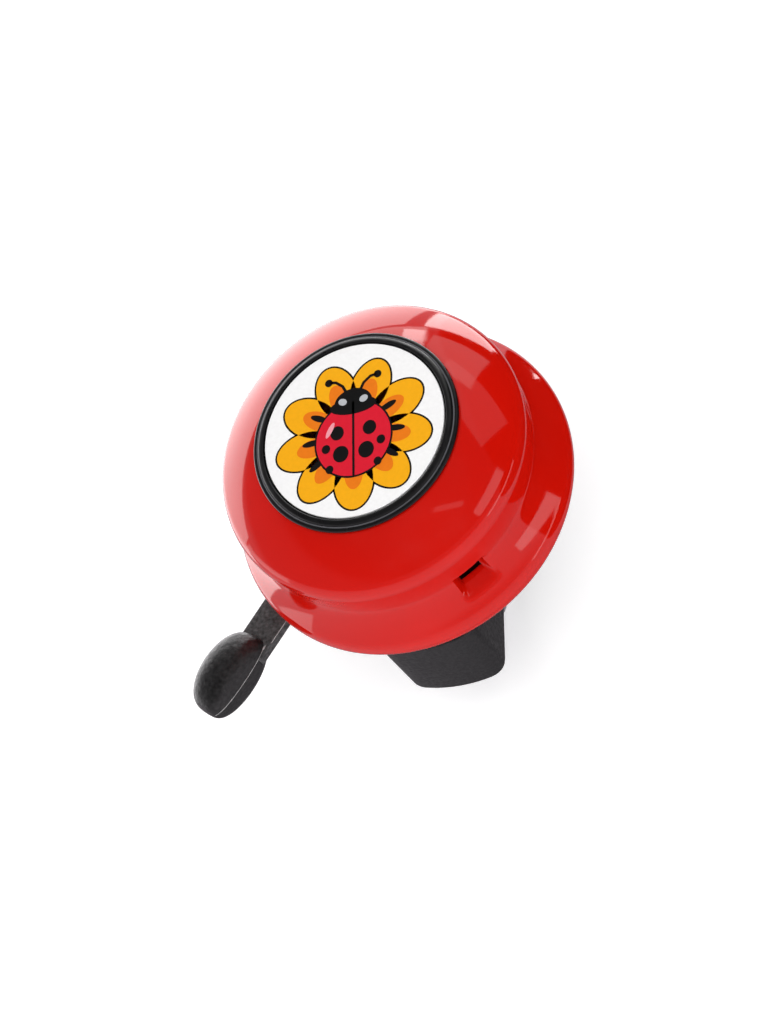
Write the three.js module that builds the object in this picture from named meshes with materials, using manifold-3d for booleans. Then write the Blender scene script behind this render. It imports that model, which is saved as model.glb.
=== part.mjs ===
// Bicycle bell with a two-tier gong, a thumb lever and a spinning striker.
//
// Frame: millimetres, origin at the centre of the handlebar, +X along the handlebar,
// +Z up along the bell's axis, -Y towards the rider. The lever sits on the -X, -Y side.

import * as THREE from 'three';
import { mergeVertices } from 'three/addons/utils/BufferGeometryUtils.js';
import Module from 'manifold-3d';

const wasm = await Module();
wasm.setup();

// ---------------------------------------------------------------- driving dimensions

const GAP = 0.3;                  // space kept between pieces that touch
const FIT = 0.25;                 // radial space of a shaft in its hole

const BAR_R = 11.1;               // handlebar, 22.2 mm
const TOP_Z = 44;                 // foot of the badge's bezel above the bar's centre

const GONG_R = 27.5;              // lower tier at its widest
const GONG_WALL = 0.8;
const GONG_SEGMENTS = 96;
const GONG_HOLE_R = 2.3;
const WAIST_R = 23.75;
const WAIST_Z = 31.3;
const TIER_ARC_R = 3.05;          // rolled edge of both tiers
const UPPER_TIER = { r: 24.53, z: 37 };
const LOWER_TIER = { r: GONG_R, z: 23.83 };
const FLOOR_Z = 39;               // bottom of the recess in the crown, upper face
const RECESS_R = 15.6;
const RIM = { r: 25.2, z: 19.8 };

const DIMPLE = { angle: -56.5, z: 29.6, halfWidth: 2.5, halfHeight: 2, depth: 2.2 };
const SLIT = { halfWidth: 1.9, z: [28.4, 30.9] };  // tear through the wall at each dimple

const BEZEL_R = 16.52;
const DISC_R = 14.4;

const BASE_R = 22.4;              // base disc
const SADDLE_END_R = 24.3;        // the saddle's two rounded ends
const BASE_TOP_Z = 17.2;
const BASE_BOTTOM_Z = 15.7;
const SADDLE_BOTTOM_Z = 0.7;
const SADDLE_HALF_X = 7.9;
const SADDLE_CORNER_R = 2.2;
const COLLAR = { halfX: 11.6, halfY: 19.6, bottom: 13 };  // widens the saddle under the disc

const POST_R = 2;
const POST_BOTTOM_Z = 12.2;
const POST_TOP_Z = 42.8;
const POST_HEAD_HEIGHT = 1.6;

const STRAP_HALF_X = 4.5;
const STRAP_WALL = 1;
const EAR_TOP_Z = -0.3;
const EAR_END_Y = 21.5;
const SCREW_Y = 17;
const SCREW_R = 1.75;
const SCREW_HEAD_R = 3.3;
const SCREW_TOP_Z = 10.4;
const NUT_HALF = 3.5;             // square nut, half across flats
const NUT_Z = [6.5, 9.2];

// Gear train: module 0.75, short teeth, 25 degree pressure angle.
const MODULE = 0.75;
const PRESSURE_ANGLE = THREE.MathUtils.degToRad(25);
const ADDENDUM = 0.8 * MODULE;
const DEDENDUM = 1.05 * MODULE;
const BACKLASH = 0.2;
const SECTOR_TEETH = 26;          // full circle that the lever's sector is cut from
const TRANSFER_PINION_TEETH = 10;
const TRANSFER_WHEEL_TEETH = 22;
const ROTOR_PINION_TEETH = 10;
const LEVER_PIVOT = new THREE.Vector2(-15.3, -3.52);
const TRANSFER_AXIS = new THREE.Vector2(-8.7, 8.26);

// Layers between the base and the crown, as [bottom, top].
const LEVER_Z = [17.5, 19.4];
const TRANSFER_PINION_Z = [17.5, 19.9];
const WHEEL_Z = [19.9, 21.8];
const ROTOR_HUB_Z = [19.9, 27.8];
const ROTOR_PINION_Z = [19.9, 22];
const ROTOR_ARM_Z = [25.6, 27.4];
const STRIKER_Z = [27.8, 30.8];

const ROTOR_REST_ANGLE = 35;      // direction of arm a at rest, degrees
const STRIKER_ORBIT_R = 14;
const STRIKER_R = 6.5;
const STRIKER_HOLE_R = 3.25;
const STRIKER_PIN_R = 2.2;

// Thumb lever. The arm runs along LEVER_DIR; ACROSS points to its rider-side edge.
const LEVER_DIR = new THREE.Vector2(-0.6, -0.8);
const ACROSS = new THREE.Vector2(0.8, -0.6);
const LEVER_TRAVEL = 32;          // degrees, clockwise seen from above
const ARM_WIDTH = 5.6;
const ARM_LENGTH = 22;            // from the pivot into the knob
const LEVER_HUB_R = 4.2;
const BOSS_R = 2.4;
const BOSS_TOP_Z = 22.6;
const LEVER_PIN_R = 1.5;
const TRANSFER_PIN_R = 1.25;
const KNOB = {
  start: 19, end: 33.2,           // along the arm from the pivot
  near: 2.75, far: 5.0,           // each side of the arm's centre line
  rise: 3.8, keel: 5.6,           // above and below the arm's top face
};

const SPRING_R = 3.1;             // mean radius of the coil
const WIRE_R = 0.35;
const SPRING_Z = [20.15, 21.65];
const SPRING_LEG = 4.6;
const PEG_R = 0.8;
const PEG_DISTANCE = 5.6;         // of both spring pegs from the pivot
const BASE_PEG_ANGLE = 300;
const LEVER_PEG_ANGLE = 223;
const STOP_R = 1.2;

// ---------------------------------------------------------------- materials

const finish = (color, roughness, metalness) =>
  new THREE.MeshStandardMaterial({ color, roughness, metalness });

const redPaint = finish(0xc8140f, 0.15, 0.1);
const blackPlastic = finish(0x222222, 0.5, 0);
const glossBlack = finish(0x111111, 0.25, 0);
const printedDisc = finish(0xf2f2f0, 0.3, 0);
const zincSteel = finish(0xb9bcc0, 0.35, 0.9);
const springSteel = finish(0x8d9095, 0.3, 0.9);
const naturalNylon = finish(0xe4e0d2, 0.5, 0);
const blackRubber = finish(0x1b1b1b, 0.8, 0);

// ---------------------------------------------------------------- solids

const rad = THREE.MathUtils.degToRad;
const polar = (radius, degrees) =>
  new THREE.Vector2(radius * Math.cos(rad(degrees)), radius * Math.sin(rad(degrees)));

/** A closed mesh as a solid, with its shared vertices merged and its empty triangles dropped. */
function solidOf(geometry) {
  geometry.deleteAttribute('normal');
  geometry.deleteAttribute('uv');
  const merged = mergeVertices(geometry, 1e-4);
  const index = merged.index.array;
  const triangles = [];
  for (let i = 0; i < index.length; i += 3) {
    const [a, b, c] = [index[i], index[i + 1], index[i + 2]];
    if (a !== b && b !== c && c !== a) triangles.push(a, b, c);
  }
  return new wasm.Manifold(new wasm.Mesh({
    numProp: 3,
    vertProperties: new Float32Array(merged.attributes.position.array),
    triVerts: new Uint32Array(triangles),
  }));
}

const join = (...solids) => solids.reduce((whole, solid) => whole.add(solid));
const cut = (body, ...tools) => tools.reduce((left, tool) => left.subtract(tool), body);

/** A profile of [radius, z] points turned about Z, then moved to a centre. */
function turned(points, segments = 24, centre = new THREE.Vector2()) {
  const profile = points.map(([r, z]) => new THREE.Vector2(r, z));
  if (THREE.ShapeUtils.area(profile) < 0) profile.reverse();
  profile.push(profile[0].clone());
  const geometry = new THREE.LatheGeometry(profile, segments);
  geometry.rotateX(Math.PI / 2);
  geometry.translate(centre.x, centre.y, 0);
  return solidOf(geometry);
}

const ring = (inner, outer, [bottom, top], centre, segments) =>
  turned([[inner, bottom], [outer, bottom], [outer, top], [inner, top]], segments, centre);

const rod = (radius, [bottom, top], centre, segments = 20) =>
  turned([[0, bottom], [radius, bottom], [radius, top], [0, top]], segments, centre);

/** A plan shape extruded from bottom to top. */
function prism(shape, [bottom, top], curveSegments = 12) {
  const options = { depth: top - bottom, bevelEnabled: false, curveSegments };
  const geometry = new THREE.ExtrudeGeometry(shape, options);
  geometry.translate(0, 0, bottom);
  return solidOf(geometry);
}

function block([x0, x1], [y0, y1], [z0, z1]) {
  const geometry = new THREE.BoxGeometry(x1 - x0, y1 - y0, z1 - z0);
  geometry.translate((x0 + x1) / 2, (y0 + y1) / 2, (z0 + z1) / 2);
  return solidOf(geometry);
}

/** A straight bar in plan between two points, with square ends. */
function bar(from, to, width, heights) {
  const side = to.clone().sub(from).normalize().rotateAround(new THREE.Vector2(), Math.PI / 2);
  side.multiplyScalar(width / 2);
  const corners = [
    from.clone().sub(side), to.clone().sub(side), to.clone().add(side), from.clone().add(side),
  ];
  return prism(new THREE.Shape(corners), heights);
}

const hexagon = (acrossFlats, heights) =>
  rod(acrossFlats / Math.sqrt(3), heights, undefined, 6);

/** A named mesh of the part. */
function piece(name, solid, material) {
  const { vertProperties, triVerts } = solid.getMesh();
  const geometry = new THREE.BufferGeometry();
  geometry.setAttribute('position', new THREE.BufferAttribute(vertProperties, 3));
  geometry.setIndex(new THREE.BufferAttribute(triVerts, 1));
  geometry.computeVertexNormals();
  const mesh = new THREE.Mesh(geometry, material);
  mesh.name = name;
  return mesh;
}

// ---------------------------------------------------------------- gears

const pitchRadius = (teeth) => MODULE * teeth / 2;
const involute = (angle) => Math.tan(angle) - angle;

/** Points of one tooth, anticlockwise, centred on an angle in radians. */
function toothPoints(teeth, centreAngle) {
  const pitch = pitchRadius(teeth);
  const base = pitch * Math.cos(PRESSURE_ANGLE);
  const root = pitch - DEDENDUM;
  const halfAtPitch = Math.PI / (2 * teeth) - BACKLASH / (2 * pitch);
  const radii = [root, Math.max(root, base), pitch, pitch + ADDENDUM];
  const halfAngle = (radius) => {
    const pressure = Math.acos(Math.min(1, base / Math.max(radius, base)));
    return halfAtPitch + involute(PRESSURE_ANGLE) - involute(pressure);
  };
  const flank = (side) => radii.map((radius) => {
    const angle = centreAngle + side * halfAngle(radius);
    return new THREE.Vector2(radius * Math.cos(angle), radius * Math.sin(angle));
  });
  return [...flank(-1), ...flank(1).reverse()];
}

/** A whole gear with one tooth centred on the given direction. */
function gear(teeth, toothAngle, heights, centre = new THREE.Vector2()) {
  const points = [];
  for (let i = 0; i < teeth; i += 1) {
    points.push(...toothPoints(teeth, toothAngle + i * 2 * Math.PI / teeth));
  }
  return prism(new THREE.Shape(points.map((point) => point.add(centre))), heights);
}

const directionOf = (from, to) => Math.atan2(to.y - from.y, to.x - from.x);
const halfTooth = (teeth) => Math.PI / teeth;

// ---------------------------------------------------------------- gong and badge

/** Outer face of the gong from its centre hole to its rim, as a path of radius and z. */
function gongOuterFace() {
  const upperStart = rad(52);       // where the dome meets the upper tier's rolled edge
  const upperEnd = rad(-11);
  const lowerStart = rad(38);
  const lowerEnd = rad(-37);
  const upper = { x: UPPER_TIER.r - TIER_ARC_R, y: UPPER_TIER.z };
  const lower = { x: LOWER_TIER.r - TIER_ARC_R, y: LOWER_TIER.z };
  const onArc = (arc, angle) =>
    [arc.x + TIER_ARC_R * Math.cos(angle), arc.y + TIER_ARC_R * Math.sin(angle)];

  const path = new THREE.Path();
  path.moveTo(GONG_HOLE_R, FLOOR_Z);
  path.lineTo(RECESS_R - 0.9, FLOOR_Z);
  path.lineTo(RECESS_R, FLOOR_Z + 0.9);
  path.lineTo(RECESS_R, TOP_Z - 1);
  path.quadraticCurveTo(RECESS_R, TOP_Z - 0.55, RECESS_R + 0.7, TOP_Z - 0.6);
  path.quadraticCurveTo(20.1, TOP_Z - 2, ...onArc(upper, upperStart));
  path.absarc(upper.x, upper.y, TIER_ARC_R, upperStart, upperEnd, true);
  path.quadraticCurveTo(WAIST_R, WAIST_Z + 1.4, WAIST_R, WAIST_Z);
  path.quadraticCurveTo(WAIST_R, WAIST_Z - 1.6, ...onArc(lower, lowerStart));
  path.absarc(lower.x, lower.y, TIER_ARC_R, lowerStart, lowerEnd, true);
  path.lineTo(RIM.r, RIM.z);
  return path.getPoints(2);
}

/** The same face moved inwards by the wall. */
function offsetInwards(points, distance) {
  return points.map((point, i) => {
    const before = points[Math.max(i - 1, 0)];
    const after = points[Math.min(i + 1, points.length - 1)];
    const along = after.clone().sub(before).normalize();
    return new THREE.Vector2(point.x + along.y * distance, point.y - along.x * distance);
  });
}

/** How far a point on the gong's wall is pressed in, from 0 to 1. */
function dimpleShare(x, y, z) {
  const turn = Math.atan2(y, x) - rad(DIMPLE.angle);
  const nearer = turn - Math.PI * Math.round(turn / Math.PI);
  const across = Math.abs(nearer * WAIST_R) / DIMPLE.halfWidth;
  const up = Math.abs(z - DIMPLE.z) / DIMPLE.halfHeight;
  const ramp = (value) => THREE.MathUtils.smoothstep(1.25 - value, 0, 0.6);
  return ramp(across) * ramp(up);
}

function makeGong() {
  const outer = gongOuterFace();
  const inner = offsetInwards(outer, GONG_WALL);
  inner[0].x = GONG_HOLE_R;
  const profile = [...outer, ...inner.reverse()].map((point) => [point.x, point.y]);
  const pressed = turned(profile, GONG_SEGMENTS).warp((vertex) => {
    const [x, y, z] = vertex;
    const radius = Math.hypot(x, y);
    const scale = 1 - DIMPLE.depth * dimpleShare(x, y, z) / radius;
    if (radius > RECESS_R + 1) {
      vertex[0] = x * scale;
      vertex[1] = y * scale;
    }
  });
  const bothSlits = block([-WAIST_R, WAIST_R], [-SLIT.halfWidth, SLIT.halfWidth], SLIT.z);
  return cut(pressed, bothSlits.rotate([0, 0, DIMPLE.angle]));
}

function makeBadgeCap() {
  return turned([
    [0, 43.3], [14.6, 43.3], [14.6, 40.6], [15.3, 40.6], [15.3, 43.7], [16.3, 43.7],
    [BEZEL_R, 43.85], [BEZEL_R, TOP_Z], [16.35, 44.2], [15.95, 44.32], [15.75, 44.3],
    [15.6, 44.48], [15, 44.74], [14.7, 44.74], [14.7, 43.9], [0, 43.9],
  ], 36);
}

const makeBadgeDisc = () =>
  turned([[0, 44.2], [DISC_R, 44.2], [DISC_R, 44.66], [DISC_R - 0.1, 44.74], [0, 44.74]], 36);

// ---------------------------------------------------------------- centre stack

const makePost = () => join(
  hexagon(7, [POST_BOTTOM_Z, POST_BOTTOM_Z + POST_HEAD_HEIGHT]),
  rod(POST_R, [POST_BOTTOM_Z, POST_TOP_Z]),
);

const makeGongNut = () => cut(hexagon(7, [40.3, 42.4]), rod(POST_R + FIT, [40, 43]));

function makeRotor() {
  const arms = [0, 180].map((turn) => {
    const end = polar(STRIKER_ORBIT_R, ROTOR_REST_ANGLE + turn);
    return join(
      bar(new THREE.Vector2(), end, 6.4, ROTOR_ARM_Z),
      rod(3.2, ROTOR_ARM_Z, end),
    );
  });
  const towardsTransfer = directionOf(new THREE.Vector2(), TRANSFER_AXIS);
  const pinion = gear(ROTOR_PINION_TEETH, towardsTransfer, ROTOR_PINION_Z);
  const rivetHoles = [0, 180].map((turn) =>
    rod(1.2 + FIT, [25, 28], polar(STRIKER_ORBIT_R, ROTOR_REST_ANGLE + turn)));
  return cut(
    join(rod(3.4, [ROTOR_PINION_Z[1] - 0.1, ROTOR_HUB_Z[1]]), pinion, ...arms),
    rod(POST_R + FIT, [19, 28]),
    ...rivetHoles,
  );
}

/** Shouldered rivet that carries a striker washer on the end of a rotor arm. */
const makeStrikerPin = (centre) => turned([
  [0, 24.5], [1.9, 24.5], [2.2, 24.8], [2.2, ROTOR_ARM_Z[0] - GAP], [1.2, ROTOR_ARM_Z[0] - GAP],
  [1.2, ROTOR_ARM_Z[1] + GAP], [STRIKER_PIN_R, ROTOR_ARM_Z[1] + GAP],
  [STRIKER_PIN_R, STRIKER_Z[1] + GAP], [3.9, STRIKER_Z[1] + GAP], [3.9, 31.5], [3.5, 31.9],
  [0, 31.9],
], 24, centre);

function makeStrikerWasher(centre) {
  const [bottom, top] = STRIKER_Z;
  const edge = 0.4;
  return turned([
    [STRIKER_HOLE_R, bottom], [STRIKER_R - edge, bottom], [STRIKER_R, bottom + edge],
    [STRIKER_R, top - edge], [STRIKER_R - edge, top], [STRIKER_HOLE_R, top],
  ], 32, centre);
}

// ---------------------------------------------------------------- transfer gear

/** A stepped axle with a groove for its clip near the top. */
function makeAxle(radius, [bottom, top], grooveZ, centre) {
  const neck = radius - 0.4;
  return turned([
    [0, bottom], [radius, bottom], [radius, grooveZ[0]], [neck, grooveZ[0]],
    [neck, grooveZ[1]], [radius, grooveZ[1]], [radius, top], [0, top],
  ], 20, centre);
}

/** An open retaining ring that snaps into an axle's groove. */
function makeClip(axleRadius, heights, centre, mouthAngle) {
  const inner = axleRadius - 0.15;
  const mouth = centre.clone().add(polar(4, mouthAngle));
  return cut(
    ring(inner, axleRadius + 1.3, heights, centre, 24),
    bar(centre, mouth, 1.6 * inner, [heights[0] - 1, heights[1] + 1]),
  );
}

function makeTransferGear() {
  const towardsLever = directionOf(TRANSFER_AXIS, LEVER_PIVOT);
  const towardsRotor = directionOf(TRANSFER_AXIS, new THREE.Vector2());
  const pinionPhase = towardsLever + halfTooth(TRANSFER_PINION_TEETH);
  const wheelPhase = towardsRotor + halfTooth(TRANSFER_WHEEL_TEETH);
  return cut(
    join(
      gear(TRANSFER_PINION_TEETH, pinionPhase, [TRANSFER_PINION_Z[0], WHEEL_Z[0] + 0.1], TRANSFER_AXIS),
      gear(TRANSFER_WHEEL_TEETH, wheelPhase, WHEEL_Z, TRANSFER_AXIS),
      rod(2.6, [WHEEL_Z[1] - 0.1, 22.4], TRANSFER_AXIS),
    ),
    rod(TRANSFER_PIN_R + FIT, [17, 23], TRANSFER_AXIS),
  );
}

// ---------------------------------------------------------------- lever

/** The toothed sector in plan, out from the pivot. */
function sectorShape() {
  const pitchAngle = 2 * Math.PI / SECTOR_TEETH;
  const mesh = directionOf(LEVER_PIVOT, TRANSFER_AXIS);
  const root = pitchRadius(SECTOR_TEETH) - DEDENDUM;
  const first = -1;
  const last = 3;
  const edge = (angle) => new THREE.Vector2(root * Math.cos(angle), root * Math.sin(angle));
  const points = [new THREE.Vector2(), edge(mesh + (first - 0.6) * pitchAngle)];
  for (let i = first; i <= last; i += 1) {
    points.push(...toothPoints(SECTOR_TEETH, mesh + i * pitchAngle));
  }
  points.push(edge(mesh + (last + 0.6) * pitchAngle));
  return new THREE.Shape(points.map((point) => point.add(LEVER_PIVOT)));
}

const signedPower = (value, power) => Math.sign(value) * Math.abs(value) ** power;

/** Thumb knob: a blunt egg whose rider side stays flush with the arm, with a deeper keel. */
function makeKnob() {
  const along = (KNOB.start + KNOB.end) / 2;
  const halfLength = (KNOB.end - KNOB.start) / 2;
  const geometry = new THREE.SphereGeometry(1, 32, 20);
  const position = geometry.attributes.position;
  for (let i = 0; i < position.count; i += 1) {
    const [out, side, up] = [position.getY(i), -position.getX(i), position.getZ(i)];
    const girth = Math.sqrt(Math.max(0, 1 - out * out));
    const sideShare = girth > 0 ? signedPower(side / girth, 0.8) : 0;
    const upShare = girth > 0 ? signedPower(up / girth, up > 0 ? 0.9 : 0.7) : 0;
    const reach = side > 0 ? KNOB.near * girth ** 0.4 : KNOB.far * girth ** 0.75;
    const height = up > 0 ? KNOB.rise * girth ** 0.9 : KNOB.keel * girth ** 0.8;
    const plan = LEVER_PIVOT.clone()
      .addScaledVector(LEVER_DIR, along + halfLength * out)
      .addScaledVector(ACROSS, sideShare * reach);
    position.setXYZ(i, plan.x, plan.y, LEVER_Z[1] + upShare * height);
  }
  return solidOf(geometry);
}

const leverPoint = (distance, angle) => LEVER_PIVOT.clone().add(polar(distance, angle));

function makeLever() {
  const armEnd = LEVER_PIVOT.clone().addScaledVector(LEVER_DIR, ARM_LENGTH);
  return cut(
    join(
      rod(LEVER_HUB_R, LEVER_Z, LEVER_PIVOT, 32),
      prism(sectorShape(), LEVER_Z),
      bar(LEVER_PIVOT, armEnd, ARM_WIDTH, LEVER_Z),
      rod(BOSS_R, [LEVER_Z[0], BOSS_TOP_Z], LEVER_PIVOT),
      rod(PEG_R, [LEVER_Z[1] - 0.1, 22.3], leverPoint(PEG_DISTANCE, LEVER_PEG_ANGLE), 16),
      makeKnob(),
    ),
    rod(LEVER_PIN_R + FIT, [17, 23], LEVER_PIVOT),
  );
}

/** Torsion spring round the lever's boss, with a leg to a peg on the base and one on the lever. */
function makeReturnSpring() {
  const pegOffset = SPRING_R + WIRE_R + PEG_R + GAP;
  const legAngle = THREE.MathUtils.radToDeg(Math.acos(pegOffset / PEG_DISTANCE));
  const baseEnd = BASE_PEG_ANGLE - legAngle;
  const leverEnd = LEVER_PEG_ANGLE + legAngle - 720;
  const at = (degrees, leg) => {
    const share = (baseEnd - degrees) / (baseEnd - leverEnd);
    const point = leverPoint(SPRING_R, degrees).add(polar(leg, degrees + 90));
    return new THREE.Vector3(point.x, point.y, THREE.MathUtils.lerp(...SPRING_Z, share));
  };
  const steps = 34;
  const points = [at(baseEnd, SPRING_LEG), at(baseEnd, SPRING_LEG / 2)];
  for (let i = 0; i <= steps; i += 1) {
    points.push(at(THREE.MathUtils.lerp(baseEnd, leverEnd, i / steps), 0));
  }
  points.push(at(leverEnd, -SPRING_LEG / 2), at(leverEnd, -SPRING_LEG));
  const section = new THREE.Shape();
  section.absarc(0, 0, WIRE_R, 0, 2 * Math.PI, false);
  return solidOf(new THREE.ExtrudeGeometry(section, {
    steps: 50,
    curveSegments: 3,
    bevelEnabled: false,
    extrudePath: new THREE.CatmullRomCurve3(points),
  }));
}

// ---------------------------------------------------------------- base and clamp

/** Plan of the saddle: two straight sides, and ends that follow the base disc. */
function saddleShape() {
  const cornerY = Math.sqrt(SADDLE_END_R ** 2 - SADDLE_HALF_X ** 2);
  const arcX = SADDLE_HALF_X - SADDLE_CORNER_R;
  const endAngle = Math.acos(arcX / SADDLE_END_R);
  const shape = new THREE.Shape();
  shape.moveTo(SADDLE_HALF_X, -cornerY + SADDLE_CORNER_R);
  shape.lineTo(SADDLE_HALF_X, cornerY - SADDLE_CORNER_R);
  shape.quadraticCurveTo(SADDLE_HALF_X, cornerY, arcX, SADDLE_END_R * Math.sin(endAngle));
  shape.absarc(0, 0, SADDLE_END_R, endAngle, Math.PI - endAngle, false);
  shape.quadraticCurveTo(-SADDLE_HALF_X, cornerY, -SADDLE_HALF_X, cornerY - SADDLE_CORNER_R);
  shape.lineTo(-SADDLE_HALF_X, -cornerY + SADDLE_CORNER_R);
  shape.quadraticCurveTo(-SADDLE_HALF_X, -cornerY, -arcX, -SADDLE_END_R * Math.sin(endAngle));
  shape.absarc(0, 0, SADDLE_END_R, Math.PI + endAngle, 2 * Math.PI - endAngle, false);
  shape.quadraticCurveTo(SADDLE_HALF_X, -cornerY, SADDLE_HALF_X, -cornerY + SADDLE_CORNER_R);
  return shape;
}

/** Where the lever's arm stops, against a peg beside it. */
function stopCentre(armAngle, side, distance) {
  const offset = ARM_WIDTH / 2 + GAP + STOP_R;
  return leverPoint(distance, armAngle).add(polar(offset, armAngle + side * 90));
}

function makeBase() {
  const armAngle = THREE.MathUtils.radToDeg(LEVER_DIR.angle());
  const overLever = [BASE_TOP_Z - 0.1, LEVER_Z[1]];
  const bore = solidOf(new THREE.CylinderGeometry(BAR_R, BAR_R, 40, 48).rotateZ(Math.PI / 2));
  const underLeverPin = 12.2;
  const underTransferPin = 12.7;
  const solid = join(
    rod(BASE_R, [BASE_BOTTOM_Z, BASE_TOP_Z], undefined, 64),
    prism(saddleShape(), [SADDLE_BOTTOM_Z, BASE_BOTTOM_Z + 0.1], 5),
    block([-COLLAR.halfX, COLLAR.halfX], [-COLLAR.halfY, COLLAR.halfY], [COLLAR.bottom, BASE_BOTTOM_Z + 0.1]),
    rod(3.2, [underLeverPin, BASE_BOTTOM_Z + 0.1], LEVER_PIVOT),
    rod(3.2, [underTransferPin, BASE_BOTTOM_Z + 0.1], TRANSFER_AXIS),
    rod(STOP_R, overLever, stopCentre(armAngle, 1, 7), 16),
    rod(STOP_R, overLever, stopCentre(armAngle - LEVER_TRAVEL, -1, 4.5), 16),
    rod(PEG_R, [BASE_TOP_Z - 0.1, 21], leverPoint(PEG_DISTANCE, BASE_PEG_ANGLE), 16),
  );
  const pocketTop = POST_BOTTOM_Z + POST_HEAD_HEIGHT + GAP;
  const screwHoles = [-SCREW_Y, SCREW_Y].map((y) =>
    rod(SCREW_R + FIT, [0, SCREW_TOP_Z + GAP], new THREE.Vector2(0, y)));
  const nutSlots = [-SCREW_Y, SCREW_Y].map((y) => block(
    [-SADDLE_HALF_X - 1, NUT_HALF + GAP],
    [y - NUT_HALF - GAP, y + NUT_HALF + GAP],
    [NUT_Z[0] - GAP, NUT_Z[1] + GAP],
  ));
  return cut(
    solid,
    bore,
    rod(4.8, [0, pocketTop]),
    rod(POST_R + FIT, [10, 20]),
    rod(LEVER_PIN_R + FIT, [underLeverPin + 1, 20], LEVER_PIVOT),
    rod(TRANSFER_PIN_R + FIT, [underTransferPin + 1, 20], TRANSFER_AXIS),
    ...screwHoles,
    ...nutSlots,
  );
}

/** Steel strap: half round the bar, with a flat ear on each side. */
function makeStrap() {
  const outer = BAR_R + STRAP_WALL;
  const earBottom = EAR_TOP_Z - STRAP_WALL;
  const shape = new THREE.Shape();
  const innerTurn = Math.asin(EAR_TOP_Z / BAR_R);
  const outerTurn = Math.asin(earBottom / outer);
  shape.moveTo(EAR_END_Y, earBottom);
  shape.lineTo(EAR_END_Y, EAR_TOP_Z);
  shape.lineTo(BAR_R * Math.cos(innerTurn), EAR_TOP_Z);
  shape.absarc(0, 0, BAR_R, innerTurn, -Math.PI - innerTurn, true);
  shape.lineTo(-EAR_END_Y, EAR_TOP_Z);
  shape.lineTo(-EAR_END_Y, earBottom);
  shape.lineTo(-outer * Math.cos(outerTurn), earBottom);
  shape.absarc(0, 0, outer, -Math.PI - outerTurn, outerTurn, false);
  const options = { depth: 2 * STRAP_HALF_X, bevelEnabled: false, curveSegments: 16 };
  const geometry = new THREE.ExtrudeGeometry(shape, options);
  geometry.translate(0, 0, -STRAP_HALF_X);
  geometry.rotateX(Math.PI / 2);
  geometry.rotateZ(Math.PI / 2);
  const holes = [-SCREW_Y, SCREW_Y].map((y) =>
    rod(SCREW_R + FIT, [earBottom - 1, 1], new THREE.Vector2(0, y)));
  return cut(solidOf(geometry), ...holes);
}

/** Pan-head screw from below, with a cross recess. */
function makeScrew(y) {
  const headTop = EAR_TOP_Z - STRAP_WALL - GAP;
  const headBottom = headTop - 2.2;
  const centre = new THREE.Vector2(0, y);
  const body = turned([
    [0, headBottom], [2, headBottom], [2.9, headBottom + 0.4], [SCREW_HEAD_R, headBottom + 1.2],
    [SCREW_HEAD_R, headTop], [SCREW_R, headTop], [SCREW_R, SCREW_TOP_Z - 0.4],
    [SCREW_R - 0.4, SCREW_TOP_Z], [0, SCREW_TOP_Z],
  ], 20, centre);
  const recess = [headBottom - 1, headBottom + 1.2];
  return cut(
    body,
    block([-1.6, 1.6], [y - 0.4, y + 0.4], recess),
    block([-0.4, 0.4], [y - 1.6, y + 1.6], recess),
  );
}

const makeClampNut = (y) => cut(
  block([-NUT_HALF, NUT_HALF], [y - NUT_HALF, y + NUT_HALF], NUT_Z),
  rod(SCREW_R + FIT, [NUT_Z[0] - 1, NUT_Z[1] + 1], new THREE.Vector2(0, y)),
);

// ---------------------------------------------------------------- assembly

const bell = new THREE.Group();
bell.name = 'bicycle_bell';

bell.add(
  piece('gong', makeGong(), redPaint),
  piece('badge_cap', makeBadgeCap(), glossBlack),
  piece('badge_disc', makeBadgeDisc(), printedDisc),
  piece('gong_nut', makeGongNut(), zincSteel),
  piece('gong_washer', ring(POST_R + FIT, 5, [39.3, 40]), zincSteel),
  piece('damping_washer', ring(POST_R + FIT, 6, [37.1, 37.9]), blackRubber),
  piece('spacer_sleeve', ring(POST_R + FIT, 3.6, [28.1, 36.8]), zincSteel),
  piece('centre_post', makePost(), zincSteel),
  piece('rotor', makeRotor(), naturalNylon),
  piece('rotor_thrust_collar', ring(POST_R + FIT, 4.2, [17.5, 19.6]), naturalNylon),
);

const strikers = { a: 0, b: 180 };
for (const [letter, turn] of Object.entries(strikers)) {
  const centre = polar(STRIKER_ORBIT_R, ROTOR_REST_ANGLE + turn);
  bell.add(
    piece(`striker_pin_${letter}`, makeStrikerPin(centre), zincSteel),
    piece(`striker_washer_${letter}`, makeStrikerWasher(centre), zincSteel),
  );
}

const transferPinZ = [14, 23.8];
const leverPinZ = [13.5, 24];
bell.add(
  piece('transfer_gear', makeTransferGear(), naturalNylon),
  piece('transfer_pin', makeAxle(TRANSFER_PIN_R, transferPinZ, [22.4, 23.4], TRANSFER_AXIS), zincSteel),
  piece('transfer_clip', makeClip(TRANSFER_PIN_R, [22.7, 23.1], TRANSFER_AXIS, 120), springSteel),
  piece('lever', makeLever(), blackPlastic),
  piece('lever_pin', makeAxle(LEVER_PIN_R, leverPinZ, [22.6, 23.6], LEVER_PIVOT), zincSteel),
  piece('lever_clip', makeClip(LEVER_PIN_R, [22.9, 23.3], LEVER_PIVOT, 180), springSteel),
  piece('return_spring', makeReturnSpring(), springSteel),
  piece('base_plate', makeBase(), blackPlastic),
  piece('clamp_strap', makeStrap(), zincSteel),
);

const clampSides = { front: -SCREW_Y, rear: SCREW_Y };
for (const [side, y] of Object.entries(clampSides)) {
  bell.add(
    piece(`clamp_screw_${side}`, makeScrew(y), zincSteel),
    piece(`clamp_nut_${side}`, makeClampNut(y), zincSteel),
  );
}

export default bell;
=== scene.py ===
import math

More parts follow.
